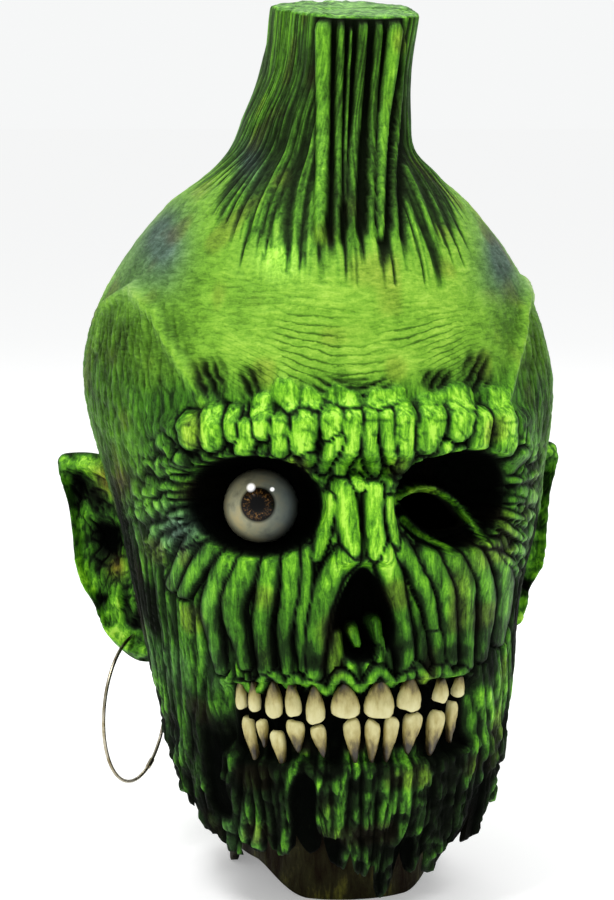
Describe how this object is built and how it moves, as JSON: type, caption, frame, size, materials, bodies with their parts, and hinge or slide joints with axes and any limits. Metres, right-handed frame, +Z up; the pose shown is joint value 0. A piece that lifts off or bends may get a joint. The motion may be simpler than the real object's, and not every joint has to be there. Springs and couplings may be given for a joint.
{
  "type": "zombie mask",
  "caption": "Hollow latex over-the-head zombie mask with a mohawk, sunken eye sockets, a bulging eye, crooked teeth, a torn hem over a short neck, and a wire hoop in one ear.",
  "frame": {"origin": "on the floor under the middle of the whole mask's box", "axes": "+Z up through the mohawk, the face looks along -Y, +X towards the wearer's left"},
  "size_m": [0.2308, 0.239, 0.3846],
  "materials": {
    "latex": "satin latex, painted yellow-green over black in the creases",
    "eye": "clear gloss over a painted eye",
    "teeth": "satin, stained brown towards the roots",
    "hoop_wire": "bright thin wire, slightly tarnished"
  },
  "bodies": {
    "mask": {"latex_shell": "latex", "eyeball": "eye", "tooth_upper_1": "teeth", "tooth_upper_2": "teeth", "tooth_upper_3": "teeth", "tooth_upper_4": "teeth", "tooth_upper_5": "teeth", "tooth_upper_6": "teeth", "tooth_upper_7": "teeth", "tooth_upper_8": "teeth", "tooth_upper_9": "teeth", "tooth_upper_10": "teeth", "tooth_lower_1": "teeth", "tooth_lower_2": "teeth", "tooth_lower_3": "teeth", "tooth_lower_4": "teeth", "tooth_lower_5": "teeth", "tooth_lower_6": "teeth", "tooth_lower_7": "teeth", "tooth_lower_8": "teeth", "tooth_lower_9": "teeth", "tooth_lower_10": "teeth", "tooth_lower_11": "teeth"},
    "hoop": {"ear_hoop": "hoop_wire"}
  },
  "joints": [
    {"name": "hoop_swing", "type": "hinge", "parent": "mask", "child": "hoop", "pos_m": [-0.08271, 0.00266, 0.10548], "axis": [-0.515, -0.8572, 0], "range_deg": [-35, 7]}
  ]
}
